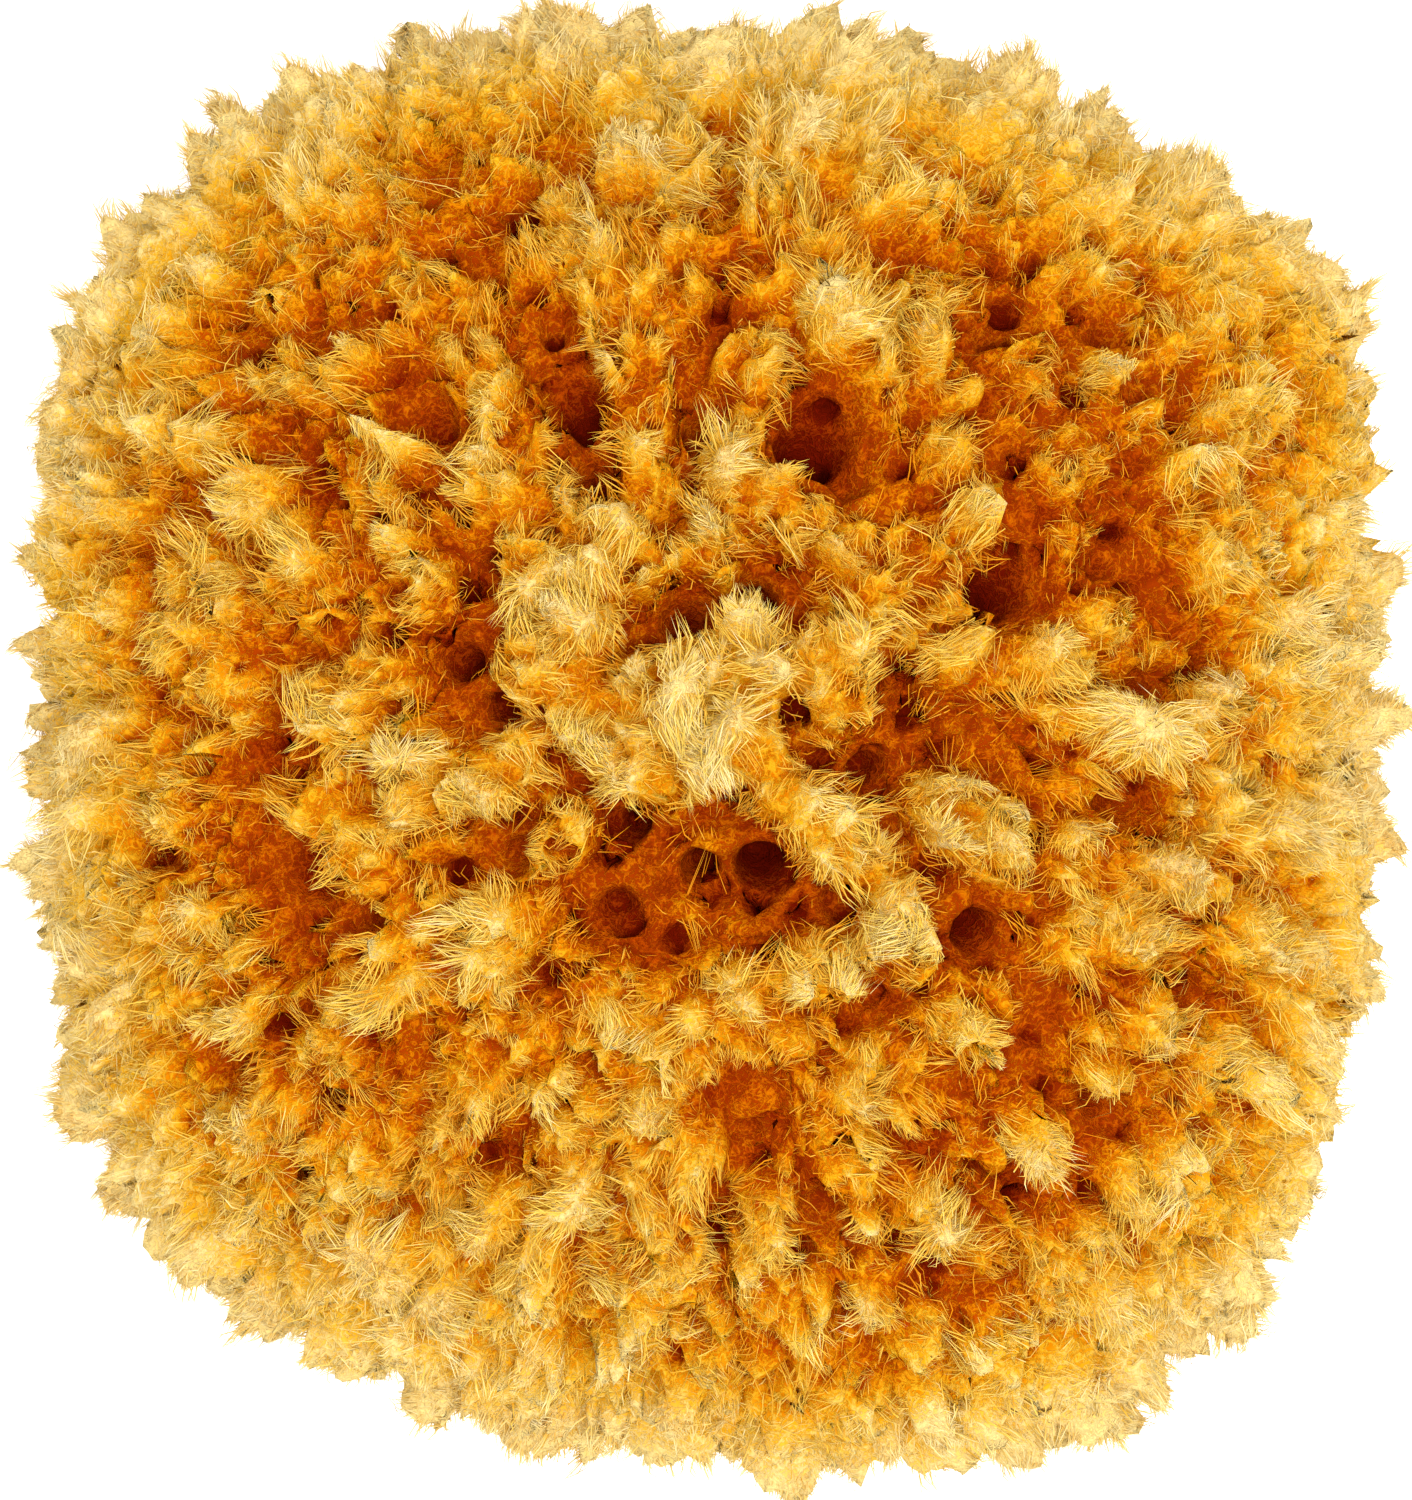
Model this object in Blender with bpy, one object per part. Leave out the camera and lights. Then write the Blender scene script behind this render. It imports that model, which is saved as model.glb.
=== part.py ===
"""A natural wool sponge, dried and cut flat underneath.

The sponge grew as one piece, so it is one solid: a squarish dome whose skin rises in tufts, which run
together in short ridges, with pits between them where water once flowed out, and with open canals in the
flat cut face that it rests on.

The solid starts as a fine sphere round the heart of the sponge. Each of its points moves out to the skin,
whose distance from the heart is worked out for every direction, and the net is then thinned to the points
that its shape needs. X runs across, Y along the longer side and Z up from the cut face. Metres.
"""

import math

import bmesh
import bpy
import numpy as np
from mathutils import Vector, noise

MM = 0.001

# Size and outline of the whole sponge, to the tips of its tufts
HALF_WIDTH = 74.6 * MM
HALF_LENGTH = 80.0 * MM
HEIGHT = 92.0 * MM
WAIST_HEIGHT = 38.0 * MM
UNCUT_DEPTH = 60.0 * MM
PLAN_SQUARENESS = 2.75
DOME_SQUARENESS = 2.35
# Corners that stand out from the even outline, or fall short of it: degrees from +X, millimetres, spread
CORNERS = ((35, 5.0, 9), (54, -2.0, 8), (137, 3.0, 16), (214, 2.0, 8), (238, -5.0, 20), (308, 1.0, 20))

# Tufts, in millimetres: how wide they are and how far apart, and how deep the valleys between them are on
# the flanks and in the middle of the top
TUFT_RADIUS = 6.0
TUFT_SPACING = 9.8
FLANK_VALLEY = 5.0
TOP_VALLEY = 8.5
TOP_VALLEY_REACH = 52.0
# Ridges of tufts that have grown together on top, each tuft at (x, y) in plan
RIDGES = (
    ((4, 14), (6, 9), (5, 2), (9, -4), (14, -8), (19, -14)),
    ((3, 33), (10, 29), (17, 25)),
    ((28, 32), (27, 24), (20, 18)),
    ((15, 11), (16, 6)),
    ((28, 12), (35, 11)),
    ((-14, 5), (-8, 4), (-6, -3)),
    ((-24, 27), (-18, 29), (-19, 21)),
    ((-39, 34), (-33, 33), (-37, 26), (-33, 18)),
    ((-46, 42), (-39, 42)),
    ((-26, 41), (-21, 36)),
    ((-8, 44), (-7, 38), (-7, 32)),
    ((-15, 56), (-5, 59), (-7, 51)),
    ((7, 53), (14, 53)),
    ((38, 59), (40, 53), (38, 42)),
    ((27, 50), (25, 43), (17, 46)),
    ((60, 41), (58, 34), (52, 29), (57, 23)),
    ((-57, 23), (-55, 15), (-55, 9)),
    ((-37, 8), (-42, 3)),
    ((-44, -7), (-39, -11), (-33, -17), (-33, -24)),
    ((-32, -4), (-24, -1), (-15, -10)),
    ((-26, -26), (-27, -32)),
    ((-12, -28), (-19, -33)),
    ((-26, -37), (-29, -43), (-35, -43)),
    ((-8, -37), (-5, -43)),
    ((13, -25), (22, -21)),
    ((4, -29), (9, -32), (14, -37)),
    ((29, -29), (22, -34), (27, -39)),
    ((27, -6), (32, -10), (42, -12), (51, -13)),
    ((43, -22), (44, -33), (37, -42)),
    ((16, -46), (6, -51)),
    ((-22, -51), (-18, -61)),
    ((41, 5), (46, 1)),
    ((32, -55), (41, -56)),
    ((-48, -40), (-41, -52)),
    ((20, -59), (8, -62)),
    ((-62, -18), (-55, -19)),
)
# Tufts on top that stand alone, at (x, y) in plan
LONE_TUFTS = (
    (-23, 66), (-29, 60), (-38, 54), (-46, 53), (-58, 37), (-49, 28), (-45, 19), (8, 61), (18, 65), (26, 63),
    (50, 46), (-2, 23), (-15, 15), (57, 2), (-41, -27), (-22, -19), (-53, -27), (-15, -44), (-6, -53),
    (-25, -63), (-5, -60), (-32, -58), (60, -22), (49, -21), (47, -60), (26, -65), (54, -41), (56, -52),
    (-3, -32), (-2, -72), (51, -31), (59, -36), (-67, 2), (-66, 28), (69, 12), (68, -8), (-50, -52),
)
# Share of the other tufts, spread between these and round the flanks, that have grown together with another
LINKED_SHARE = 0.5

# Pits on top, each (x, y) in plan with its radius, in millimetres, under one depth for each group
PITS = {
    11.0: (
        (14, 39, 6.2), (-15, 41, 4.6), (-1, 18, 4.6), (-13, 33, 3.6), (35, 21, 5.0), (8, 20, 3.4),
        (0, 37, 3.4), (7, -15, 4.4), (-1, -16, 3.4), (-10, -10, 3.6), (33, -22, 3.8), (-26, 22, 3.2),
        (-30, 11, 3.2), (21, -1, 3.2), (16, -18, 3.2),
    ),
    7.0: (
        (-33, 39, 4.6), (-46, -14, 5.4), (49, -6, 4.8), (22, -9, 3.6), (15, -53, 4.8), (-49, 3, 4.0),
        (-25, 4, 3.8), (-2, 27, 3.4), (-11, -21, 3.6), (46, 22, 3.8), (-38, -20, 3.2), (34, 47, 3.4),
        (-28, 55, 3.4), (-18, 49, 3.2), (46, 48, 3.0), (-55, 32, 3.2), (23, 9, 3.0), (52, 7, 3.4),
        (-23, -13, 3.4), (46, -41, 3.4), (34, 34, 3.0), (18, 33, 2.8), (40, -17, 2.8), (19, -29, 2.8),
        (5, -44, 2.8), (-16, -52, 2.8), (56, -28, 3.8),
    ),
}
SIDE_PIT_SPACING = 20.0
SIDE_PIT_RADII = (2.6, 4.2)
SIDE_PIT_DEPTH = 7.0

# Canals cut open in the flat face: (x, y), radius and depth, in millimetres
CANALS = (
    (12, 14, 5.5, 14), (-16, 9, 4.5, 12), (-6, -18, 5.0, 14), (19, -10, 3.6, 9), (34, 12, 5.2, 13),
    (-36, 18, 4.8, 12), (-33, -14, 4.0, 10), (14, -35, 4.6, 12), (-14, 34, 4.0, 10), (36, -22, 3.8, 9),
    (-22, -38, 3.6, 9), (18, 40, 3.8, 9), (-3, 24, 3.0, 8), (4, -7, 2.8, 7), (-23, -4, 2.6, 7),
    (30, 30, 3.0, 8), (-43, 2, 3.0, 8), (1, -46, 3.2, 8), (46, -4, 3.0, 8), (-30, 35, 3.0, 8),
)

# Slow bend of the whole skin, in millimetres, and how many bends there are to a metre
BEND = 1.6
BENDS_PER_METRE = 45.0

# How finely the skin is worked out, how many triangles are kept, which edges stay crisp, and the random draw
SPHERE_SUBDIVISIONS = 7
TRIANGLES = 9700
SHARP_ANGLE = math.radians(55)
CANDIDATES = 7000
SEED = 7

HEART = np.array((0.0, 0.0, WAIST_HEIGHT))


def smooth_step(low, high, value):
    """0 at low and below, 1 at high and above, and an even rise between them."""
    share = np.clip((value - low) / (high - low), 0.0, 1.0)
    return share * share * (3.0 - 2.0 * share)


def unit(vectors):
    return vectors / np.linalg.norm(vectors, axis=-1, keepdims=True)


def plan_radius(angle):
    """Half the width of the waist at an angle from +X."""
    power = PLAN_SQUARENESS
    across = np.abs(np.cos(angle)) / HALF_WIDTH
    along = np.abs(np.sin(angle)) / HALF_LENGTH
    radius = (across**power + along**power) ** (-1.0 / power)
    for middle, swell, spread in CORNERS:
        away = (angle - math.radians(middle) + math.pi) % (2 * math.pi) - math.pi
        radius = radius + swell * MM * np.exp(-0.5 * (away / math.radians(spread)) ** 2)
    return radius


def envelope(ways):
    """How far the tuft tips stand from the heart in these directions, before the base is cut."""
    power = DOME_SQUARENESS
    sideways = np.hypot(ways[:, 0], ways[:, 1]) / plan_radius(np.arctan2(ways[:, 1], ways[:, 0]))
    upright = np.abs(ways[:, 2]) / np.where(ways[:, 2] > 0, HEIGHT - WAIST_HEIGHT, UNCUT_DEPTH)
    return (sideways**power + upright**power) ** (-1.0 / power)


def tip_points(ways):
    """Where tuft tips would stand in these directions."""
    return HEART + ways * envelope(ways)[:, None]


def cut_distance(ways):
    """How far the flat cut lies from the heart in these directions."""
    return WAIST_HEIGHT / np.maximum(-ways[:, 2], 1e-6)


def ways_over(places):
    """Directions of the points of the top that lie above these plan positions, in millimetres."""
    x, y = np.array(places, float).T[:2] * MM
    share = np.hypot(x, y) / plan_radius(np.arctan2(y, x))
    rise = (1.0 - np.minimum(share, 0.99) ** DOME_SQUARENESS) ** (1.0 / DOME_SQUARENESS)
    return unit(np.stack((x, y, rise * (HEIGHT - WAIST_HEIGHT)), axis=1))


def shuffled_ways(random):
    """Directions spread evenly over a sphere, along a golden-angle spiral, in random order."""
    index = random.permutation(CANDIDATES) + 0.5
    height = 1.0 - 2.0 * index / CANDIDATES
    turn = index * math.pi * (3.0 - math.sqrt(5.0))
    across = np.sqrt(1.0 - height**2)
    return np.stack((across * np.cos(turn), across * np.sin(turn), height), axis=1)


def spaced(candidates, spacing, taken):
    """Indices of the candidates that keep their spacing from those taken and from each other."""
    kept = []
    for index, point in enumerate(candidates):
        if ((taken - point) ** 2).sum(1).min() > spacing[index] ** 2:
            taken = np.concatenate((taken, point[None]))
            kept.append(index)
    return kept


def grow_pits(random):
    """Directions, radii and depths of the pits: those named on top, then a scatter round the flanks."""
    ways = np.concatenate([ways_over(group) for group in PITS.values()])
    radii = np.concatenate([np.array(group)[:, 2] for group in PITS.values()]) * MM
    depths = np.repeat(list(PITS), [len(group) for group in PITS.values()]) * MM
    flank = shuffled_ways(random)
    flank = flank[(flank[:, 2] < 0.45) & (envelope(flank) < cut_distance(flank) + 4 * MM)]
    kept = spaced(tip_points(flank), np.full(len(flank), SIDE_PIT_SPACING * MM), tip_points(ways))
    ways = np.concatenate((ways, flank[kept]))
    radii = np.concatenate((radii, random.uniform(*SIDE_PIT_RADII, len(kept)) * MM))
    depths = np.concatenate((depths, np.full(len(kept), SIDE_PIT_DEPTH * MM)))
    return ways, radii, depths


def grow_tufts(random, pit_ways, pit_radii):
    """Directions and radii of the tufts: those named, then a scatter of which many link in pairs."""
    named = ways_over([place for ridge in RIDGES for place in ridge] + list(LONE_TUFTS))
    ways = shuffled_ways(random)
    ways = ways[envelope(ways) < cut_distance(ways) + 9 * MM]
    points = tip_points(ways)
    to_pits = np.linalg.norm(points[:, None] - tip_points(pit_ways)[None], axis=2) - pit_radii
    ways, points = ways[to_pits.min(1) > 2.5 * MM], points[to_pits.min(1) > 2.5 * MM]
    spacing = random.uniform(0.75, 1.4, len(points)) * TUFT_SPACING * MM
    scatter = ways[spaced(points, spacing, tip_points(named))]
    points = tip_points(scatter)
    apart = np.linalg.norm(points[:, None] - points[None], axis=2)
    np.fill_diagonal(apart, np.inf)
    linked = random.random(len(scatter)) < LINKED_SHARE
    links = unit(scatter + scatter[apart.argmin(1)])[linked]
    ways = np.concatenate((named, scatter, links))
    return ways, random.uniform(0.7, 1.2, len(ways)) * TUFT_RADIUS * MM


def skin_distance(ways, tufts, pits):
    """How far the skin stands from the heart in these directions."""
    outer, flat = envelope(ways), cut_distance(ways)
    points = tip_points(ways)
    cut_points = HEART + ways * flat[:, None]
    (tuft_ways, tuft_radii), (pit_ways, pit_radii, pit_depths) = tufts, pits
    tuft_points, pit_points = tip_points(tuft_ways), tip_points(pit_ways)
    canals = np.array(CANALS, float) * MM
    reach = np.hypot(points[:, 0], points[:, 1]) / (TOP_VALLEY_REACH * MM)
    top = (1.0 - smooth_step(0.3, 1.0, reach)) * (ways[:, 2] > 0)
    valley_depth = (FLANK_VALLEY + (TOP_VALLEY - FLANK_VALLEY) * top) * MM
    skin = np.empty(len(ways))
    for part in np.array_split(np.arange(len(ways)), 60):
        to_tufts = np.linalg.norm(points[part, None] - tuft_points, axis=2) / tuft_radii
        to_pits = np.linalg.norm(points[part, None] - pit_points, axis=2) / pit_radii
        to_canals = np.linalg.norm(cut_points[part, None, :2] - canals[:, :2], axis=2) / canals[:, 2]
        valley = valley_depth[part] * smooth_step(0.4, 1.2, to_tufts.min(1))
        pit = (pit_depths * (1.0 - smooth_step(0.5, 1.1, to_pits))).max(1)
        canal = (canals[:, 3] * (1.0 - smooth_step(0.6, 1.0, to_canals))).max(1)
        skin[part] = np.minimum(outer[part] - valley - pit, flat[part] - canal)
    return skin


def thinned(mesh):
    """The same surface in no more triangles than the solid may have."""
    carrier = bpy.data.objects.new("fine skin", mesh)
    bpy.context.scene.collection.objects.link(carrier)
    decimate = carrier.modifiers.new("thin", "DECIMATE")
    decimate.ratio = TRIANGLES / len(mesh.polygons)
    decimate.use_collapse_triangulate = True
    result = bpy.data.meshes.new_from_object(carrier.evaluated_get(bpy.context.evaluated_depsgraph_get()))
    bpy.data.objects.remove(carrier)
    return result


def sponge_mesh():
    random = np.random.default_rng(SEED)
    noise.seed_set(SEED)
    pits = grow_pits(random)
    tufts = grow_tufts(random, *pits[:2])
    skin = bmesh.new()
    bmesh.ops.create_icosphere(skin, subdivisions=SPHERE_SUBDIVISIONS, radius=1.0)
    ways = unit(np.array([vertex.co for vertex in skin.verts], dtype=float))
    points = HEART + ways * skin_distance(ways, tufts, pits)[:, None]
    for vertex, point in zip(skin.verts, points):
        slow = noise.noise_vector(Vector(point) * BENDS_PER_METRE) * BEND * MM
        vertex.co = Vector(point) + slow * float(smooth_step(0.0, 14 * MM, point[2]))
    fine = bpy.data.meshes.new("fine skin")
    skin.to_mesh(fine)
    skin.free()
    print(f"{len(tufts[0])} tufts, {len(pits[0])} pits and {len(CANALS)} canals")

    mesh = thinned(fine)
    net = bmesh.new()
    net.from_mesh(mesh)
    for vertex in net.verts:
        if vertex.co.z < 0.15 * MM:
            vertex.co.z = 0.0
    low = Vector([min(vertex.co[axis] for vertex in net.verts) for axis in range(3)])
    high = Vector([max(vertex.co[axis] for vertex in net.verts) for axis in range(3)])
    middle = (low + high) / 2
    bmesh.ops.translate(net, verts=net.verts, vec=(-middle.x, -middle.y, 0.0))
    for face in net.faces:
        face.smooth = True
    for edge in net.edges:
        on_cut = [all(vertex.co.z == 0.0 for vertex in face.verts) for face in edge.link_faces]
        edge.smooth = edge.calc_face_angle() < SHARP_ANGLE and on_cut[0] == on_cut[1]
    net.to_mesh(mesh)
    net.free()
    return mesh


def spongin():
    """Bleached sponge fibre: golden, soft and dull."""
    material = bpy.data.materials.new("spongin")
    material.use_nodes = True
    surface = material.node_tree.nodes["Principled BSDF"]
    surface.inputs["Base Color"].default_value = (0.72, 0.36, 0.07, 1.0)
    surface.inputs["Roughness"].default_value = 0.95
    surface.inputs["Metallic"].default_value = 0.0
    return material


def main():
    for thing in list(bpy.data.objects):
        bpy.data.objects.remove(thing)
    sponge = bpy.data.objects.new("sponge", sponge_mesh())
    sponge.data.materials.append(spongin())
    bpy.context.scene.collection.objects.link(sponge)


main()
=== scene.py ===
# %% [markdown]
# # A natural wool sponge
#
# A wool sponge is the dried skeleton of a sea animal: a soft net of spongin, a golden fibre. It grew as
# one lump on a rock, and it was cut off flat there. Its outside rises in tufts whose ends fray into
# fine strands, and between the tufts are the deep round pits through which water once left the animal.
#
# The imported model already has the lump, its tufts and its larger pits, as one solid. This script gives
# it the fine form and the colour: a soft skin with small tufts and pores, and a quarter of a million
# strands. Every length is in metres, so millimetres are written with `MM`.

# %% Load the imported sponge
import math

import bmesh
import bpy
import numpy as np
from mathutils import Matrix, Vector, kdtree, noise


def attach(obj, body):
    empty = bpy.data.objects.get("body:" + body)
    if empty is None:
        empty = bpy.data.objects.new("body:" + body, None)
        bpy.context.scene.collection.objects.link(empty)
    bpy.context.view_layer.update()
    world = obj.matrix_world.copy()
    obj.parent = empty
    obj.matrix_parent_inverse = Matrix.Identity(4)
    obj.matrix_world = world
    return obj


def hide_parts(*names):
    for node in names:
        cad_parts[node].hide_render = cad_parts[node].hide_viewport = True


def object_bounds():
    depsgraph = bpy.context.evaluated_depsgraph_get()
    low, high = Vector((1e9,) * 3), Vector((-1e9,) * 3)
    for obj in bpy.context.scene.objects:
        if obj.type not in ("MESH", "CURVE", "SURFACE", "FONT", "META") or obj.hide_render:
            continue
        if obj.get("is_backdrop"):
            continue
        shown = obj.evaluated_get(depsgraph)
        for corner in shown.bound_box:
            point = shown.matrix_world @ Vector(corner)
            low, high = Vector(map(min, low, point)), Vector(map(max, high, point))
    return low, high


MM = 0.001
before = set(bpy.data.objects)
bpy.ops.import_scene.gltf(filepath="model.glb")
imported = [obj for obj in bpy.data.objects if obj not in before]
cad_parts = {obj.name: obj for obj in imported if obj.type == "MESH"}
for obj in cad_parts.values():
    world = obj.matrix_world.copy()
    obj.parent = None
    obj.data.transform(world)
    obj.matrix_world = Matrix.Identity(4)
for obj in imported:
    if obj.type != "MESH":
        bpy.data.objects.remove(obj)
cad_low, cad_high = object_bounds()
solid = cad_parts["sponge"]
size = cad_high - cad_low
print(f"The sponge is {size.x / MM:.0f} x {size.y / MM:.0f} x {size.z / MM:.0f} mm")

# %% [markdown]
# ## Colours and nodes
#
# Colours given here are sRGB values, but a shader wants linear light, so one function turns a hex
# colour to linear. A second small function adds a node, sets its inputs and links what is linked.

# %% Two helpers for materials
def linear(hex_colour):
    """An sRGB colour such as "#e2a233", as the linear RGBA that a shader expects."""
    channels = [int(hex_colour[i : i + 2], 16) / 255 for i in (1, 3, 5)]
    return [c / 12.92 if c <= 0.04045 else ((c + 0.055) / 1.055) ** 2.4 for c in channels] + [1.0]


def add(tree, kind, settings=None, **inputs):
    """Adds a node. Settings are its own properties, and inputs are values or sockets to link from.

    The setting "stops" fills a colour ramp with (place, hex colour) pairs. A new ramp already has two
    stops, so the first two pairs are those, and each further pair adds one.
    """
    made = tree.nodes.new(kind)
    settings = dict(settings or {})
    for index, (place, colour) in enumerate(settings.pop("stops", ())):
        stops = made.color_ramp.elements
        stop = stops[index] if index < 2 else stops.new(place)
        stop.position = place
        stop.color = linear(colour)
    for name, value in settings.items():
        setattr(made, name, value)
    for name, value in inputs.items():
        socket = made.inputs[int(name[1:])] if name[1:].isdigit() else made.inputs[name.replace("_", " ")]
        if isinstance(value, bpy.types.NodeSocket):
            tree.links.new(value, socket)
        else:
            socket.default_value = value
    return made


print("helpers: linear and add")

# %% [markdown]
# ## Camera
#
# The sponge is seen from straight above, close enough that it fills the picture. The picture is a
# little taller than wide, and Blender's sensor width belongs to the longer side of the picture, so the
# lens is worked out from the height of the view at the sponge's widest level.

# %% Place the camera above the sponge
CAMERA_HEIGHT = 0.95
WIDEST_LEVEL = 38 * MM
VIEW_HEIGHT = 160.6 * MM
SENSOR = 36.0
NEAREST = 0.01

camera = bpy.data.objects.new("camera", bpy.data.cameras.new("camera"))
bpy.context.scene.collection.objects.link(camera)
bpy.context.scene.camera = camera
camera.location = (0, 0, CAMERA_HEIGHT)
camera.data.sensor_width = SENSOR
camera.data.lens = SENSOR * (CAMERA_HEIGHT - WIDEST_LEVEL) / VIEW_HEIGHT
camera.data.clip_start = NEAREST
print(f"lens {camera.data.lens:.0f} mm")

# %% [markdown]
# ## The skin
#
# The solid's triangles are flat and a few millimetres wide. A voxel remesh of a copy gives an even net
# of points, each about a millimetre from the next, and a little smoothing rounds the facets. Moving
# those points then makes forms that are too fine for the solid.

# %% Remesh a copy of the solid
VOXEL = 1.15 * MM
ROUNDING_PASSES = 3

copy = bmesh.new()
copy.from_mesh(solid.data)
bmesh.ops.remove_doubles(copy, verts=copy.verts, dist=0.001 * MM)
merged = bpy.data.meshes.new("merged solid")
copy.to_mesh(merged)
copy.free()
solid_points = np.array([vertex.co for vertex in merged.vertices])

carrier = bpy.data.objects.new("carrier", merged)
bpy.context.scene.collection.objects.link(carrier)
remesh = carrier.modifiers.new("even net", "REMESH")
remesh.mode = "VOXEL"
remesh.voxel_size = VOXEL
remesh.adaptivity = 0.0
skin_mesh = bpy.data.meshes.new_from_object(carrier.evaluated_get(bpy.context.evaluated_depsgraph_get()))
bpy.data.objects.remove(carrier)

skin = bmesh.new()
skin.from_mesh(skin_mesh)
every_way = {"use_axis_x": True, "use_axis_y": True, "use_axis_z": True}
for _ in range(ROUNDING_PASSES):
    bmesh.ops.smooth_vert(skin, verts=skin.verts, factor=0.5, **every_way)
skin.to_mesh(skin_mesh)
skin.free()
print(f"skin: {len(skin_mesh.vertices)} points, {2 * len(skin_mesh.polygons)} triangles")

# %% [markdown]
# ## How deep each point lies
#
# Colour, pores and strands all depend on one thing: how far a point lies below the tips of the tufts
# round it. Seen from the heart of the sponge, the tips in any direction are the farthest points of the
# solid nearby, and the depth is what a point falls short of them. On the cut face underneath there are
# no tufts, so there the depth is simply the height above the cut.

# %% Measure depth below the tuft tips
HEART = np.array((0.0, 0.0, WIDEST_LEVEL))
NEAREST_TIPS = 3
TIP_SEARCH_COSINE = math.cos(math.radians(10))
TIP_BLEND_COSINE = math.cos(math.radians(7))


def distances_and_ways(points):
    """How far each point lies from the heart, and its direction from there."""
    offsets = points - HEART
    distances = np.linalg.norm(offsets, axis=1)
    return distances, offsets / distances[:, None]


solid_distances, solid_ways = distances_and_ways(solid_points)
closeness = solid_ways @ solid_ways.T
tips = np.where(closeness > TIP_SEARCH_COSINE, solid_distances, 0.0).max(1)
nearby = closeness > TIP_BLEND_COSINE
tips = (nearby * tips).sum(1) / nearby.sum(1)
tips_tree = kdtree.KDTree(len(solid_ways))
for index, way in enumerate(solid_ways):
    tips_tree.insert(way, index)
tips_tree.balance()


def depth_below_tips(points):
    """Depth of each point below the tufts round it, in metres."""
    distances, ways = distances_and_ways(points)
    depths = np.empty(len(points))
    for index, way in enumerate(ways):
        found = tips_tree.find_n(way, NEAREST_TIPS)
        weights = [1.0 / (gap + 1e-4) for _, _, gap in found]
        tip = sum(tips[near] * weight for (_, near, _), weight in zip(found, weights)) / sum(weights)
        depths[index] = tip - distances[index]
    over_cut = ways[:, 2] < 0
    depths[over_cut] = np.minimum(depths[over_cut], points[over_cut, 2])
    return np.maximum(depths, 0.0)


print(f"tips: {tips.min() / MM:.0f} to {tips.max() / MM:.0f} mm from the heart")


# %% Read and write a mesh's points as arrays
def read_points(mesh):
    """Every point of a mesh, as one array, which is far quicker than a loop."""
    points = np.empty(3 * len(mesh.vertices))
    mesh.vertices.foreach_get("co", points)
    return points.reshape(-1, 3)


def read_normals(mesh):
    """The way that the skin faces at each point."""
    normals = np.empty(3 * len(mesh.vertices))
    mesh.vertices.foreach_get("normal", normals)
    return normals.reshape(-1, 3)


def write_points(mesh, points):
    """Moves every point of a mesh to its place in the array."""
    mesh.vertices.foreach_set("co", points.ravel())
    mesh.update()


skin_points = read_points(skin_mesh)
skin_depths = depth_below_tips(skin_points)
print(f"depth: median {np.median(skin_depths) / MM:.1f} mm, deepest {skin_depths.max() / MM:.1f} mm")

# %% [markdown]
# ## Small tufts and pores
#
# The strands will stand on the tufts, so the skin there is first drawn in to make room for them. Tufts of
# two small sizes then rise from it, packed side by side like the cells of a Voronoi pattern, and a little
# noise roughens them. Moving points along the line from the heart can never fold the skin over itself,
# so most of each move goes that way. The pores are a scatter of small round cups in the walls between
# the tufts, each pressed in along the skin's own normal.

# %% Functions for soft steps, noise and small tufts
TUFT_EDGE = (0.04, 0.62)
TUFT_BEND = 1.1
TUFT_BEND_WIDTH = 1.7
HEIGHT_SPREAD = 0.5


def smooth_step(low, high, value):
    """0 below low, 1 above high, and a soft rise between them."""
    share = np.clip((value - low) / (high - low), 0.0, 1.0)
    return share * share * (3.0 - 2.0 * share)


def unit(vectors):
    """The same vectors, each of length one."""
    return vectors / np.maximum(np.linalg.norm(vectors, axis=1, keepdims=True), 1e-12)


def noise_at(points, width, shift=0.0):
    """Smooth noise from -1 to 1 whose lumps are about this many metres wide."""
    moved = points / width + shift
    return np.array([noise.noise(Vector(point)) for point in moved])


def wander(points, width, shift=0.0):
    """A smooth vector field, so that neighbours lean the same way."""
    return np.stack([noise_at(points, width, shift + axis * 31.7) for axis in range(3)], axis=1)


def small_tufts(points, width, shift):
    """Tufts packed side by side: each point's height, about 0 to 1, and its way out from the middle."""
    bent = points / width + shift + TUFT_BEND * wander(points, TUFT_BEND_WIDTH * width, shift)
    found = [noise.voronoi(Vector(point)) for point in bent]
    nearest, second = np.array([gaps[:2] for gaps, _ in found]).T
    middles = np.array([places[0] for _, places in found])
    height = smooth_step(*TUFT_EDGE, second - nearest) * (1.0 + HEIGHT_SPREAD * noise_at(middles, 0.37))
    return height, bent - middles


print("functions: smooth_step, unit, noise_at, wander, small_tufts")

# %% Draw in the crowns and raise small tufts
DRAWN_IN = 5.7 * MM
DRAWN_IN_PITS = 0.25
TUFTS_FADE = (7 * MM, 14 * MM)
BROAD_TUFT, BROAD_TUFT_HEIGHT, BROAD_SHARE = 7.8 * MM, 4.5 * MM, 0.55
FINE_TUFT, FINE_TUFT_HEIGHT, FINE_SHARE = 3.1 * MM, 1.9 * MM, 0.45
FINE_COMB = 0.8
SPREAD = 0.25
FLANK_FILL = 1.4 * MM
# Noise that roughens the tufts: how wide its lumps are and how high, in millimetres
LUMPS = ((7.0, 0.6), (2.2, 0.4))
CUT_BLEND = (0.2 * MM, 4.0 * MM)

_, skin_ways = distances_and_ways(skin_points)
skin_normals = read_normals(skin_mesh)
off_cut = smooth_step(*CUT_BLEND, skin_points[:, 2])
tufted = 1.0 - smooth_step(*TUFTS_FADE, skin_depths)
broad_height, broad_out = small_tufts(skin_points, BROAD_TUFT, 0.0)
fine_height, fine_out = small_tufts(skin_points, FINE_TUFT, 5.0)
skin_lift = (BROAD_SHARE * broad_height + FINE_SHARE * fine_height) * tufted
skin_comb = broad_out + FINE_COMB * fine_out
skin_comb -= (skin_comb * skin_normals).sum(1, keepdims=True) * skin_normals

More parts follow.
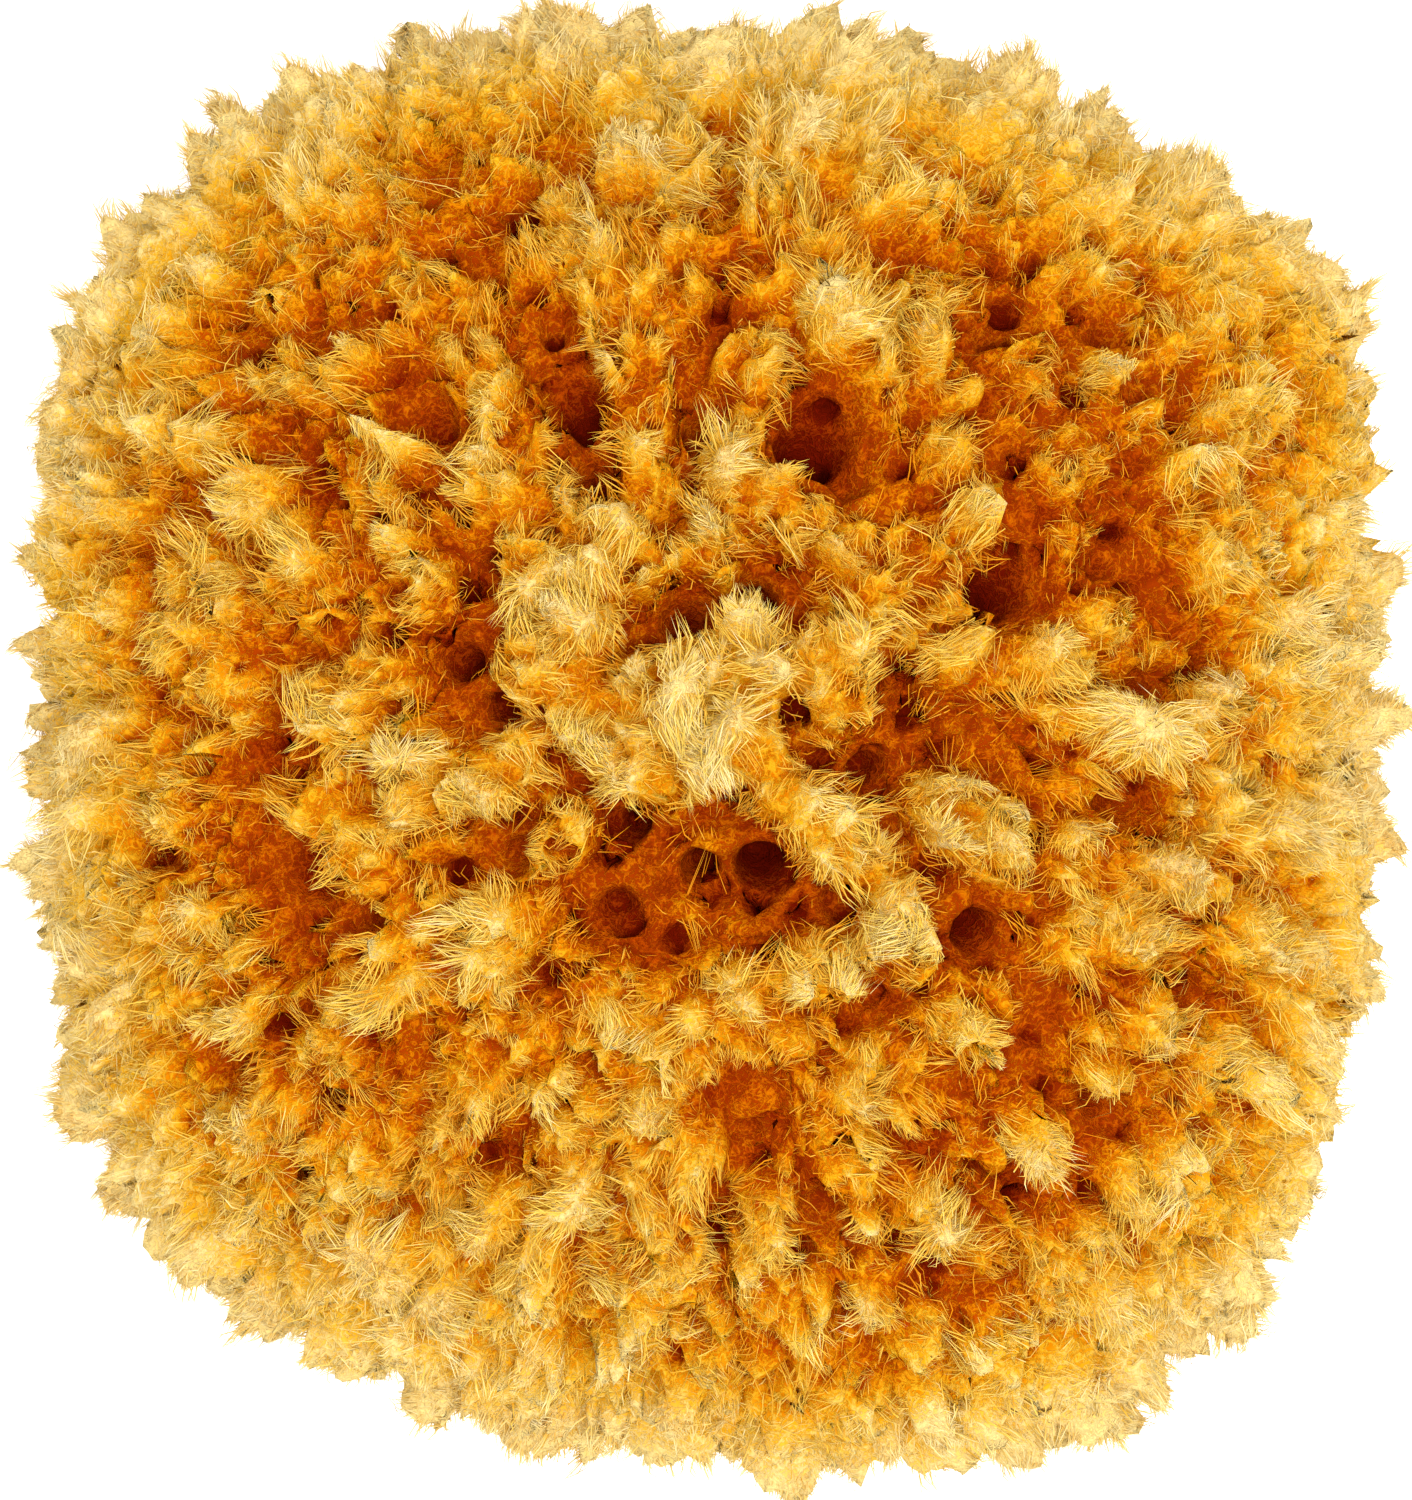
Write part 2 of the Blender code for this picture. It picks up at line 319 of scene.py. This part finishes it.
flank = 1.0 - smooth_step(0.0, 0.6, skin_ways[:, 2])
move = -DRAWN_IN * (DRAWN_IN_PITS + (1.0 - DRAWN_IN_PITS) * tufted)
move += (BROAD_TUFT_HEIGHT * broad_height + FINE_TUFT_HEIGHT * fine_height) * tufted
move += FLANK_FILL * flank * (1.0 - broad_height) * tufted
for width, height in LUMPS:
    move += height * MM * noise_at(skin_points, width * MM)
push = skin_ways * move[:, None] + skin_comb * (SPREAD * BROAD_TUFT * skin_lift)[:, None]
skin_points = skin_points + push * off_cut[:, None]
write_points(skin_mesh, skin_points)
print(f"moved by up to {np.abs(move).max() / MM:.1f} mm")

# %% Press small pores into the walls
PORE_COUNT = 1100
PORE_RADII = (0.9 * MM, 1.9 * MM)
PORE_SPACING = 3.4 * MM
CUT_FACE = 0.5 * MM
# Pores begin between the first two depths, where the walls do, and grow fewer between the last two
PORES_BEGIN, PORES_FEWER = (2.5 * MM, 5.0 * MM), (11 * MM, 15 * MM)
PORES_LOST = 0.6
PORES_ON_CUT = 0.8
# A pore's flat bottom and its lip, as shares of its radius, and how deep it is pressed
PORE_BOTTOM, PORE_LIP, PORE_PRESS = 0.35, 1.15, 1.6
random = np.random.default_rng(3)

skin_normals = read_normals(skin_mesh)
on_base = skin_points[:, 2] < CUT_FACE
pore_wish = smooth_step(*PORES_BEGIN, skin_depths)
pore_wish *= 1.0 - PORES_LOST * smooth_step(*PORES_FEWER, skin_depths)
pore_wish *= 1.3 - skin_lift
pore_wish[on_base] = PORES_ON_CUT
order = random.permutation(len(skin_points))
order = order[random.random(len(order)) < pore_wish[order]]
points_tree = kdtree.KDTree(len(skin_points))
for index, point in enumerate(skin_points):
    points_tree.insert(point, index)
points_tree.balance()
taken = np.zeros(len(skin_points), bool)
pore_share = np.zeros(len(skin_points))
pore_move = np.zeros(len(skin_points))
made_pores = 0
for seed_point in order:
    if taken[seed_point] or made_pores >= PORE_COUNT:
        continue
    radius = random.uniform(*PORE_RADII)
    made_pores += 1
    for _, index, gap in points_tree.find_range(skin_points[seed_point], PORE_SPACING):
        taken[index] = True
        cup = 1.0 - smooth_step(PORE_BOTTOM, PORE_LIP, gap / radius)
        pore_share[index] = max(pore_share[index], cup)
        pore_move[index] = max(pore_move[index], cup * radius * PORE_PRESS)
skin_points = skin_points - skin_normals * pore_move[:, None]
skin_points[:, 2] = np.maximum(skin_points[:, 2], 0.0)
skin_points[on_base & (pore_share < 0.02), 2] = 0.0
write_points(skin_mesh, skin_points)
print(f"{made_pores} pores")

# %% [markdown]
# ## Colour of the skin
#
# Bleached spongin is golden where light reaches it. Deep down the light has passed through so much of it
# that only orange and red are left, and the deepest pits are nearly black-red. That shade is painted into
# the colour: darker with depth, in the pores and in the valleys between small tufts, while tuft tops are
# painted paler and the waist is painted paler as if lit through from behind. The material reads this
# painted shade from an attribute, with some noise so that the bands are not even. It is a felt of fine
# fibre, so it is fully rough, with no gloss at all, and bumpy at the width of a fibre.

# %% Store the painted shade of each point, from its depth, pores, valleys and waist
DEEPEST = 20.0 * MM
# Painted shade: how much darker depth, a pore and a valley between small tufts make the skin, and how much
# paler the waist is painted, as painted light shining through it from behind
DEPTH_SHADE, PORE_SHADE, VALLEY_SHADE, WAIST_BACKLIGHT = 0.86, 0.22, 0.6, 0.08
EVEN_LIFT = 0.53


def store(mesh, name, values):
    """Keeps one number for each point of a mesh, for a material to read."""
    attribute = mesh.attributes.new(name, "FLOAT", "POINT")
    attribute.data.foreach_set("value", np.asarray(values, dtype=np.float32))


# The waist, where the flank turns under, is painted paler: painted backlight, light shining through the
# fibres
backlit_waist = flank * smooth_step(-0.5, 0.0, skin_ways[:, 2])
# Painted shade in the valleys between small tufts, and painted light on tuft tops that rise above EVEN_LIFT
valley_shade_and_top_light = VALLEY_SHADE * (EVEN_LIFT - skin_lift) * tufted * (1.0 - 0.6 * backlit_waist)
shade = DEPTH_SHADE * skin_depths / DEEPEST + PORE_SHADE * pore_share + valley_shade_and_top_light - WAIST_BACKLIGHT * backlit_waist
# The attribute named depth holds this painted shade, not the depth alone
store(skin_mesh, "depth", np.clip(shade, 0.0, 1.0))
print(f"shade: {shade.min():.2f} to {shade.max():.2f}")

# %% Make the felt
# Real fibres are about 0.03 mm thick, too fine to show, so they are drawn as the thin lines of two noises,
# 1.5 mm and 0.8 mm wide, which makes them about 0.2 mm thick.
PATCH_WIDTH, COARSE_WIDTH, FINE_WIDTH = 7 * MM, 1.5 * MM, 0.8 * MM
FIBRE_HEIGHT = 0.2 * MM

felt = bpy.data.materials.new("bleached_spongin_felt")
felt.use_nodes = True
tree = felt.node_tree
surface = tree.nodes["Principled BSDF"]
place = add(tree, "ShaderNodeTexCoord").outputs["Object"]
# The attribute read here, named depth, is the painted shade stored above
depth = add(tree, "ShaderNodeAttribute", {"attribute_name": "depth"}).outputs["Fac"]
patches = add(tree, "ShaderNodeTexNoise", Vector=place, Scale=1 / PATCH_WIDTH, Detail=4.0, Roughness=0.6)
patch = patches.outputs["Fac"]
shifted = add(tree, "ShaderNodeMath", {"operation": "MULTIPLY_ADD"}, _0=patch, _1=0.16, _2=depth)
level = add(tree, "ShaderNodeMath", {"operation": "SUBTRACT"}, _0=shifted.outputs[0], _1=0.08).outputs[0]
off_lines = []
for width, detail, twist in ((COARSE_WIDTH, 3.0, 0.8), (FINE_WIDTH, 2.0, 1.5)):
    clouds = add(tree, "ShaderNodeTexNoise", Vector=place, Scale=1 / width, Detail=detail, Distortion=twist)
    centred = add(tree, "ShaderNodeMath", {"operation": "SUBTRACT"}, _0=clouds.outputs["Fac"], _1=0.5)
    off_line = add(tree, "ShaderNodeMath", {"operation": "ABSOLUTE"}, _0=centred.outputs[0])
    off_lines.append(off_line.outputs[0])
off_fibre = add(tree, "ShaderNodeMath", {"operation": "MINIMUM"}, _0=off_lines[0], _1=off_lines[1])
fibres = add(tree, "ShaderNodeMapRange", Value=off_fibre.outputs[0], _1=0.07, _2=0.0).outputs[0]
lighter = add(tree, "ShaderNodeMath", {"operation": "MULTIPLY_ADD"}, _0=fibres, _1=-0.16, _2=level)
# The ramp runs from golden to near black-red, and its dark end is painted shade in pits, pores and valleys
colour = add(
    tree,
    "ShaderNodeValToRGB",
    {
        "stops": (
            (0.00, "#e8ca80"),
            (1.00, "#440a01"),
            (0.10, "#e3b650"),
            (0.22, "#dea31a"),
            (0.34, "#d07c04"),
            (0.48, "#a43e02"),
            (0.66, "#6a1202"),
        )
    },
    Fac=lighter.outputs[0],
)
tree.links.new(colour.outputs["Color"], surface.inputs["Base Color"])
bump = add(tree, "ShaderNodeBump", Height=fibres, Strength=0.7, Distance=FIBRE_HEIGHT)
tree.links.new(bump.outputs["Normal"], surface.inputs["Normal"])
surface.inputs["Roughness"].default_value = 1.0
surface.inputs["Specular IOR Level"].default_value = 0.0
print(f"felt: {len(tree.nodes)} nodes")

# %% Put the felt on the skin
skin_mesh.materials.clear()
skin_mesh.materials.append(felt)
skin_mesh.shade_smooth()
body = bpy.data.objects.new("sponge_skin", skin_mesh)
bpy.context.scene.collection.objects.link(body)
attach(body, "root")
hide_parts("sponge")
print("felt on the skin")

# %% [markdown]
# ## Strands
#
# The tufts fray into loose strands, with short down between them. Real strands are finer than a tenth of a
# millimetre, too fine to show, so these are about an eighth, and a quarter of a million of them cover
# the tufts. Fur could be made with hair curves, but then it wouldn't export as a mesh. Here one narrow
# blade is made with bmesh, with a front and a back so that it shades well from every side. Arrays then
# bend a copy of it for each place where a strand is rooted, which is far quicker than as many objects.
#
# Strands grow in locks. Each lock has a leader, and the strands near it lean their tips towards the
# leader's tip, as wet hairs do. The locks differ in length, so that the tufts end raggedly.

# %% One strand of each length
def make_strand(segments):
    """A blade with a front and a back, drawn to a point: -1 to 1 across, 0 to 1 along, -1 to 1 through."""
    blade = bmesh.new()
    bmesh.ops.create_grid(blade, x_segments=1, y_segments=segments, size=1.0)
    end = [vertex for vertex in blade.verts if vertex.co.y > 0.99]
    bmesh.ops.pointmerge(blade, verts=end, merge_co=(0, 1, 0))
    front = blade.verts[:] + blade.faces[:]
    back = bmesh.ops.duplicate(blade, geom=front)["geom"]
    back_faces = [item for item in back if isinstance(item, bmesh.types.BMFace)]
    back_points = [item for item in back if isinstance(item, bmesh.types.BMVert)]
    bmesh.ops.reverse_faces(blade, faces=back_faces)
    bmesh.ops.translate(blade, verts=back_points, vec=(0, 0, -2))
    bmesh.ops.translate(blade, verts=blade.verts, vec=(0, 1, 1))
    bmesh.ops.scale(blade, verts=blade.verts, vec=(1, 0.5, 1))
    bmesh.ops.triangulate(blade, faces=blade.faces)
    blade.verts.index_update()
    points = np.array([vertex.co for vertex in blade.verts])
    faces = np.array([[vertex.index for vertex in face.verts] for face in blade.faces])
    blade.free()
    return points.T, faces


short_strand, long_strand = make_strand(1), make_strand(2)
print(f"a strand has {len(short_strand[1])} or {len(long_strand[1])} triangles")

# %% Choose where they are rooted
triangles = bmesh.new()
triangles.from_mesh(skin_mesh)
bmesh.ops.triangulate(triangles, faces=triangles.faces)
corners = np.array([[vertex.index for vertex in face.verts] for face in triangles.faces])
triangles.free()
skin_normals = read_normals(skin_mesh)
_, skin_ways = distances_and_ways(skin_points)
corner_points = skin_points[corners]
crosses = np.cross(corner_points[:, 1] - corner_points[:, 0], corner_points[:, 2] - corner_points[:, 0])
areas = np.linalg.norm(crosses, axis=1) / 2


# How a strand leans: along the skin's normal, away from the heart, at random, and outwards on the flanks
ALONG_NORMAL, FROM_HEART, SCATTER, OUTWARDS = 0.5, 0.25, 0.2, 0.35
# Wandering leans that whole tufts and then locks share: strength, width and shift
COMBS = ((1.9, 9 * MM, 0.0), (0.9, 3 * MM, 9.0))
# A strand's tone runs from 0, orange, to 1, pale. Depth takes from it as painted shade, height adds to it
# as bleached tips and a painted highlight, and the waist adds painted backlight.
PLAIN_TONE, DEPTH_SHADE_TONE, BLEACH_AND_HIGHLIGHT_TONE, WAIST_BACKLIGHT_TONE, PALEST = 0.17, 0.42, 0.66, 0.47, 0.84
BLEACH_PATCH, BLEACH_STRAND = 0.12, 0.1
LENGTH_SPREAD = (0.6, 1.25)


class Roots:
    """Places all over the skin, denser where the wish is higher, and the lean, length and tone of each."""

    def __init__(self, count, wish, lengths):
        steps = np.cumsum(areas * wish[corners].mean(1))
        marks = (np.arange(count) + random.random(count)) / count * steps[-1]
        picked = corners[np.searchsorted(steps, marks)]
        first, second = random.random(count), random.random(count)
        flip = first + second > 1
        first[flip], second[flip] = 1 - first[flip], 1 - second[flip]
        shares = np.stack((1 - first - second, first, second), axis=1)
        here = [np.einsum("ij,ij...->i...", shares, values[picked]) for values in
                (skin_points, skin_normals, skin_depths, skin_lift, skin_comb)]
        self.places, self.normals, self.depths, self.lifts, combs = here
        self.normals = unit(self.normals)
        _, ways = distances_and_ways(self.places)
        self.outward = unit(self.normals + ways)
        for strength, width, shift in COMBS:
            combs += strength * wander(self.places, width, shift)
        combs += OUTWARDS * (1.0 - ways[:, 2:]) * unit(ways * (1, 1, 0))
        scatter = SCATTER * random.normal(size=(count, 3))
        self.leans = unit(ALONG_NORMAL * self.normals + FROM_HEART * ways + combs + scatter)
        shallow = 1.0 - smooth_step(3 * MM, 13 * MM, self.depths)
        self.length = lengths[1] + (lengths[0] - lengths[1]) * shallow
        self.length *= random.uniform(*LENGTH_SPREAD, count)
        bleach = BLEACH_PATCH * noise_at(self.places, 9 * MM, 4.0)
        bleach += random.normal(0.0, BLEACH_STRAND, count)
        # Painted shade: deeper strands lose tone and are painted more orange
        depth_shade = smooth_step(2 * MM, 13 * MM, self.depths)
        # Strands on the waist are painted paler, as painted backlight
        backlit_waist = (1.0 - smooth_step(-0.1, 0.75, ways[:, 2])) * smooth_step(-0.5, 0.0, ways[:, 2])
        # Tone: painted shade from depth, bleached tips with a painted highlight from height, random
        # bleaching, and painted backlight
        tone = PLAIN_TONE - DEPTH_SHADE_TONE * depth_shade + BLEACH_AND_HIGHLIGHT_TONE * self.lifts + bleach + WAIST_BACKLIGHT_TONE * backlit_waist
        self.tone = np.clip(tone, 0.0, PALEST)


print(f"the skin has {areas.sum() / MM**2:.0f} square millimetres")

# %% Turn arrays into one piece
TONES = 12
LOWEST = 0.15 * MM
# The margins of a lane and of the whole chart, as shares, which keep one tone from bleeding into the next
LANE_MARGIN, END_MARGIN = 0.08, 0.02


def make_piece(name, points, faces, tone, across, along, shading):
    """One mesh of many copies. Across and along, from 0 to 1, place each point on its part of the chart."""
    count, size = points.shape[:2]
    points[:, :, 2] = np.maximum(points[:, :, 2], LOWEST)
    corners_of_copies = (faces[None] + (np.arange(count) * size)[:, None, None]).reshape(-1, 3)
    mesh = bpy.data.meshes.new(name)
    mesh.vertices.add(count * size)
    mesh.vertices.foreach_set("co", points.ravel())
    mesh.loops.add(corners_of_copies.size)
    mesh.loops.foreach_set("vertex_index", corners_of_copies.ravel().astype(np.int32))
    mesh.polygons.add(len(corners_of_copies))
    mesh.polygons.foreach_set("loop_start", np.arange(len(corners_of_copies), dtype=np.int32) * 3)
    mesh.update(calc_edges=True)
    lane = (np.floor(tone * TONES)[:, None] + LANE_MARGIN + (1.0 - 2.0 * LANE_MARGIN) * across) / TONES
    up = np.broadcast_to(END_MARGIN + (1.0 - 2.0 * END_MARGIN) * along, lane.shape)
    places = np.stack((lane, up), axis=2).reshape(-1, 2)
    mesh.uv_layers.new(name="OFBake").data.foreach_set("uv", places[corners_of_copies.ravel()].ravel())
    mesh.shade_smooth()
    mesh.normals_split_custom_set_from_vertices(unit(shading.reshape(-1, 3)))
    mesh.materials.append(strand_fibre)
    piece = bpy.data.objects.new(name, mesh)
    bpy.context.scene.collection.objects.link(piece)
    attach(piece, "root")
    print(f"{name}: {count} copies, {len(corners_of_copies)} triangles")


# %% Grow strands
STRANDS_PER_LOCK = 12
CLUMP, CLUMP_SPREAD = 0.75, (0.5, 1.3)
LOCK_LENGTHS = (0.45, 1.75)
ELBOW = 0.5
CURL, CURL_WIDTH, CURL_SCATTER = 0.45, 2.5 * MM, 0.3
WAVE, WAVES_ALONG = 0.2 * MM, 9.0
ROLL = 0.3
WIDTH_SPREAD, TAPER = (0.75, 1.2), 0.3
ROOTED = 0.3 * MM
HALF_BLADE = 0.01 * MM
# The way that light sees a strand: mostly as part of its tuft, and a little as a round thread of its own
AS_TUFT, AS_HEADING, AS_SIDE, AS_FACE = 0.8, 0.2, 0.3, 1.2


def grow_strands(name, strand, count, wish, lengths, thickness):
    """Lengths are at the tips and at depth, in metres, and thickness is a strand's at its root."""
    roots = Roots(count, wish, lengths)
    leaders = random.permutation(count)[: count // STRANDS_PER_LOCK]
    leader_tree = kdtree.KDTree(len(leaders))
    for index, leader in enumerate(leaders):
        leader_tree.insert(roots.places[leader], index)
    leader_tree.balance()
    follows = leaders[[leader_tree.find(place)[1] for place in roots.places]]
    roots.length *= random.uniform(*LOCK_LENGTHS, count)[follows]
    tip_points = roots.places + roots.leans * roots.length[:, None]
    tip_points += (tip_points[follows] - tip_points) * CLUMP * random.uniform(*CLUMP_SPREAD, count)[:, None]

    starts = roots.places - roots.normals * ROOTED
    elbows = roots.places + roots.outward * (ELBOW * roots.length)[:, None]
    bends = wander(roots.places, CURL_WIDTH, 50.0) + CURL_SCATTER * random.normal(size=(count, 3))
    elbows += CURL * roots.length[:, None] * bends
    (across, along, through), faces = strand
    path = (
        starts[:, None] * ((1 - along) ** 2)[None, :, None]
        + elbows[:, None] * (2 * along * (1 - along))[None, :, None]
        + tip_points[:, None] * (along**2)[None, :, None]
    )
    heading = unit(tip_points - starts)
    side = unit(np.cross(heading, roots.outward + ROLL * random.normal(size=(count, 3))))
    upper = np.cross(side, heading)
    half_width = thickness / 2 * random.uniform(*WIDTH_SPREAD, count)[:, None] * (1.0 - TAPER * along)[None]
    turns = WAVES_ALONG * along[None] + random.uniform(0, 6.3, count)[:, None]
    waves = WAVE * np.sin(turns) * (along > 0)
    points = path + side[:, None] * (across * half_width + waves)[:, :, None]
    points += upper[:, None] * (HALF_BLADE * through)[None, :, None]
    shading = AS_TUFT * roots.outward[:, None] + AS_HEADING * heading[:, None]
    shading = shading + AS_SIDE * side[:, None] * across[None, :, None]
    shading += AS_FACE * upper[:, None] * through[None, :, None]
    lanes = 0.94 * random.random(count)[:, None] + 0.03 * (1.0 + across)[None]
    make_piece(name, points, faces, roots.tone, lanes, along, shading)


print("function: grow_strands")

# %% [markdown]
# ## Colour of the strands
#
# A strand is nearly clear spongin, dull and without gloss. Its colour holds painted shade and light:
# golden-orange where it is buried, as painted shade, and pale where light would pass through its end, as
# painted light. The UV map of a piece holds numbers instead of a picture's coordinates. Across, it is cut
# into lanes, and each lane is one tone, from deep, with painted shade, to pale, with bleaching and painted
# light. Upwards, it runs from root to tip. Within a lane, fine streaks run along the fibre.

# %% Make the strands' material
# The colours at the root and near the tip of a deep, a middle and a pale strand: the darker root is painted
# shade, and the paler tip is painted light passing through the strand
TONE_STOPS = (
    ((0.0, "#bc5c00"), (0.8, "#de9612")),
    ((0.0, "#d69a08"), (0.8, "#e4c654")),
    ((0.0, "#e0b44e"), (0.8, "#eedeaa")),
)

strand_fibre = bpy.data.materials.new("bleached_spongin_strand")
strand_fibre.use_nodes = True
tree = strand_fibre.node_tree
surface = tree.nodes["Principled BSDF"]
chart = add(tree, "ShaderNodeUVMap", {"uv_map": "OFBake"}).outputs["UV"]
parts = add(tree, "ShaderNodeSeparateXYZ", Vector=chart)
along = parts.outputs["Y"]
lanes = add(tree, "ShaderNodeMath", {"operation": "MULTIPLY"}, _0=parts.outputs["X"], _1=TONES)
lane = add(tree, "ShaderNodeMath", {"operation": "FLOOR"}, _0=lanes.outputs[0])
stretched = add(tree, "ShaderNodeMapping", Vector=chart, Scale=(TONES * 14.0, 2.0, 1.0))
streaks = add(tree, "ShaderNodeTexNoise", Vector=stretched.outputs[0], Scale=1.0, Detail=2.0)
streak = add(tree, "ShaderNodeMapRange", Value=streaks.outputs["Fac"], _1=0.3, _2=0.7, _3=-0.28, _4=0.24)
even_tone = add(tree, "ShaderNodeMath", {"operation": "DIVIDE"}, _0=lane.outputs[0], _1=TONES - 1.0)
streaked = add(tree, "ShaderNodeMath", {"operation": "ADD"}, _0=even_tone.outputs[0], _1=streak.outputs[0])
tone = streaked.outputs[0]
ramps = [add(tree, "ShaderNodeValToRGB", {"stops": stops}, Fac=along) for stops in TONE_STOPS]
deep, middle, pale = [ramp.outputs["Color"] for ramp in ramps]
to_middle = add(tree, "ShaderNodeMapRange", Value=tone, _1=0.0, _2=0.5).outputs[0]
to_pale = add(tree, "ShaderNodeMapRange", Value=tone, _1=0.5, _2=1.0).outputs[0]
lower = add(tree, "ShaderNodeMix", {"data_type": "RGBA"}, _0=to_middle, _6=deep, _7=middle).outputs[2]
whole = add(tree, "ShaderNodeMix", {"data_type": "RGBA"}, _0=to_pale, _6=lower, _7=pale).outputs[2]
tree.links.new(whole, surface.inputs["Base Color"])
surface.inputs["Roughness"].default_value = 0.8
surface.inputs["Specular IOR Level"].default_value = 0.05
print(f"strand material: {len(tree.nodes)} nodes")

# %% [markdown]
# ## Where the strands grow
#
# Strands stand on the tufts, and leave the pits and the flat cut bare. The top and the flanks are separate
# pieces, each of long strands over short down, so that none has too many triangles to be exported whole.

# %% Grow the pieces
# Long blades have 6 triangles and short ones 2, so these counts keep each piece just under 200,000
LONG_COUNT, SHORT_COUNT = 33000, 99000
CLEAR_OF_CUT, CROWNS_END, TOP_BEGINS = (0.3 * MM, 1.5 * MM), (4.0 * MM, 12.0 * MM), (0.25, 0.55)
BETWEEN_TUFTS, TUFT_CONTRAST = 0.04, 1.3
UNDERSIDE, FEWER_UNDERNEATH = (-0.5, 0.05), 0.35

clear_of_cut = smooth_step(*CLEAR_OF_CUT, skin_points[:, 2])
crown = 1.0 - smooth_step(*CROWNS_END, skin_depths)
facing_up = smooth_step(*TOP_BEGINS, skin_ways[:, 2])
tufty = BETWEEN_TUFTS + skin_lift**TUFT_CONTRAST
on_top = clear_of_cut * facing_up * crown * tufty
facing_down = 1.0 - smooth_step(*UNDERSIDE, skin_ways[:, 2])
on_flank = clear_of_cut * (1.0 - facing_up) * crown * tufty * (1.0 - FEWER_UNDERNEATH * facing_down)

grow_strands("top_strands", long_strand, LONG_COUNT, on_top, (3.0 * MM, 1.8 * MM), 0.14 * MM)
grow_strands("top_down", short_strand, SHORT_COUNT, on_top, (1.3 * MM, 1.1 * MM), 0.13 * MM)
grow_strands("flank_strands", long_strand, LONG_COUNT, on_flank, (2.1 * MM, 1.6 * MM), 0.15 * MM)
grow_strands("flank_down", short_strand, SHORT_COUNT, on_flank, (1.3 * MM, 1.1 * MM), 0.14 * MM)

# %% [markdown]
# ## Floor and light
#
# The sponge lies on a plain white surface under a wide soft light, with white all round. Soft light from
# every side keeps the shadows on the floor faint and lets the pits alone go dark.

# %% Lay a white floor
FLOOR_WIDTH = 4.0
FLOOR_DROP = 0.2 * MM

sheet = bmesh.new()
bmesh.ops.create_grid(sheet, x_segments=1, y_segments=1, size=FLOOR_WIDTH / 2)
bmesh.ops.translate(sheet, verts=sheet.verts, vec=(0, 0, -FLOOR_DROP))
floor_mesh = bpy.data.meshes.new("floor")
sheet.to_mesh(floor_mesh)
sheet.free()
floor = bpy.data.objects.new("floor", floor_mesh)
bpy.context.scene.collection.objects.link(floor)
white = bpy.data.materials.new("white_surface")
white.use_nodes = True
paint = white.node_tree.nodes["Principled BSDF"]
paint.inputs["Base Color"].default_value = linear("#fafafa")
paint.inputs["Roughness"].default_value = 0.9
paint.inputs["Emission Color"].default_value = (1, 1, 1, 1)
paint.inputs["Emission Strength"].default_value = 0.35
floor_mesh.materials.append(white)
floor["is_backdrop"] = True
print(f"floor: {FLOOR_WIDTH:.0f} m wide")

# %% Light the sponge
world = bpy.data.worlds.new("white studio")
bpy.context.scene.world = world
world.use_nodes = True
world.node_tree.nodes["Background"].inputs["Color"].default_value = (1, 1, 1, 1)
world.node_tree.nodes["Background"].inputs["Strength"].default_value = 1.06


def soft_light(name, place, width, watts):
    """A square softbox at this place that faces the sponge."""
    lamp = bpy.data.lights.new(name, "AREA")
    lamp.shape = "SQUARE"
    lamp.size = width
    lamp.energy = watts
    thing = bpy.data.objects.new(name, lamp)
    thing.location = place
    towards = Vector((0, 0, WIDEST_LEVEL)) - Vector(place)
    thing.rotation_euler = towards.to_track_quat("-Z", "Y").to_euler()
    bpy.context.scene.collection.objects.link(thing)


soft_light("overhead", (0.22, -0.26, 2.2), 0.9, 45.0)
bpy.context.scene.view_settings.view_transform = "Standard"
bpy.context.scene.view_settings.look = "None"
print("world and light")

# %% Compare with the solid and finish
visual_low, visual_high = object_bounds()
visual_size = visual_high - visual_low
print("solid", [round(v / MM, 1) for v in size], "visual", [round(v / MM, 1) for v in visual_size])
